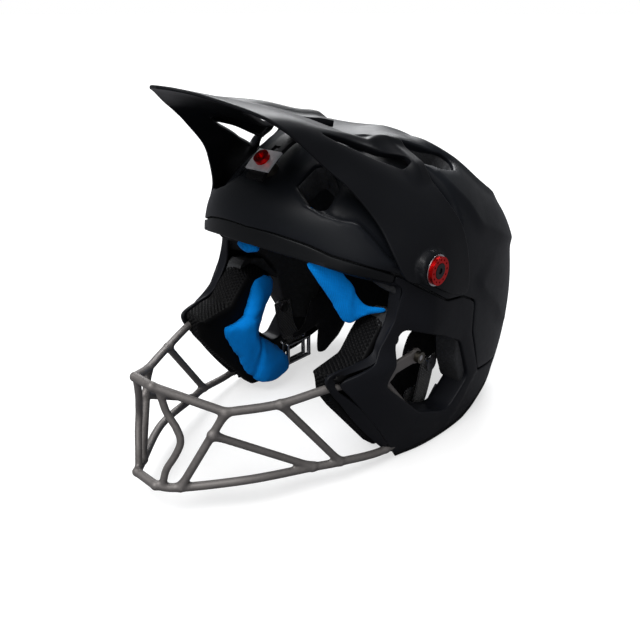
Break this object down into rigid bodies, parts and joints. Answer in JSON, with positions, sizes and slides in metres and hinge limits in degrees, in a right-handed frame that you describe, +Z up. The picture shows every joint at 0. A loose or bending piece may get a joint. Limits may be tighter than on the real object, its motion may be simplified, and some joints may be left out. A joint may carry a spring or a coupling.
{
  "type": "full face bike helmet",
  "caption": "Full face cycling helmet with moulded shell, welded tube face cage, tilting visor held by red screws, foam liners, soft pads and a double-ring chin strap.",
  "frame": {"origin": "middle of the overall box at its underside, level with the lower rim that the helmet rests on", "axes": "+X to the wearer's left, +Y to the rear, so the visor points along -Y, +Z up"},
  "size_m": [0.2204, 0.3431, 0.266],
  "materials": {
    "shell": "satin moulded shell",
    "band": "satin moulded band",
    "trim": "soft edge trim",
    "foam": "fine bead foam",
    "pad_cloth": "brushed knit over foam",
    "dark_cloth": "knit over foam",
    "cage": "fine bead-blasted tube",
    "steel": "plain",
    "insert": "plain",
    "visor": "satin moulded",
    "bracket": "brushed",
    "screw": "red anodised",
    "cap": "plain",
    "bush": "plain",
    "webbing": "woven webbing",
    "ring": "polished"
  },
  "bodies": {
    "helmet": {"crown_shell": "shell", "brow_band": "band", "lower_shell": "shell", "port_trim": "trim", "neck_trim": "trim", "eps_liner": "foam", "cheek_foam_left": "foam", "cheek_foam_right": "foam", "head_liner": "pad_cloth", "brow_pad": "pad_cloth", "nape_pad": "dark_cloth", "cheek_pad_left": "dark_cloth", "cheek_pad_right": "dark_cloth", "cheek_cover_left": "pad_cloth", "cheek_cover_right": "pad_cloth", "face_cage": "cage", "cage_bolts": "steel", "cage_nuts": "insert", "center_bracket": "bracket", "center_insert": "insert", "pivot_washer_left": "bracket", "pivot_washer_right": "bracket", "pivot_insert_left": "insert", "pivot_insert_right": "insert", "chin_strap_left": "webbing", "chin_strap_right": "webbing", "strap_rivets": "steel", "strap_snap": "cap", "pad_studs": "cap"},
    "visor_assembly": {"visor": "visor", "visor_tongue": "trim", "pivot_bush_left": "bush", "pivot_bush_right": "bush"},
    "screw_left": {"visor_screw_left": "screw", "screw_cap_left": "cap"},
    "screw_right": {"visor_screw_right": "screw", "screw_cap_right": "cap"},
    "screw_center": {"center_screw": "screw"},
    "ring_outer": {"d_ring_outer": "ring"},
    "ring_inner": {"d_ring_inner": "ring"}
  },
  "joints": [
    {"name": "visor_tilt", "type": "hinge", "parent": "helmet", "child": "visor_assembly", "pos_m": [0, -0.005, 0.15], "axis": [1, 0, 0], "range_deg": [-2, 8]},
    {"name": "left_screw_turn", "type": "hinge", "parent": "helmet", "child": "screw_left", "pos_m": [0.108, -0.005, 0.15], "axis": [1, 0, 0], "continuous": true},
    {"name": "right_screw_turn", "type": "hinge", "parent": "helmet", "child": "screw_right", "pos_m": [-0.108, -0.005, 0.15], "axis": [-1, 0, 0], "continuous": true},
    {"name": "center_screw_turn", "type": "hinge", "parent": "helmet", "child": "screw_center", "pos_m": [0, -0.05493, 0.21391], "axis": [0, -0.6157, 0.788], "continuous": true},
    {"name": "inner_ring_swing", "type": "hinge", "parent": "helmet", "child": "ring_inner", "pos_m": [-0.0598, 0.036, 0.029], "axis": [0, 1, 0], "range_deg": [-45, 6]},
    {"name": "outer_ring_swing", "type": "hinge", "parent": "helmet", "child": "ring_outer", "pos_m": [-0.067, 0.036, 0.029], "axis": [0, 1, 0], "range_deg": [-45, 6]}
  ],
  "couplings": [
    {"joint": "outer_ring_swing", "follows": "inner_ring_swing", "ratio": 1}
  ]
}
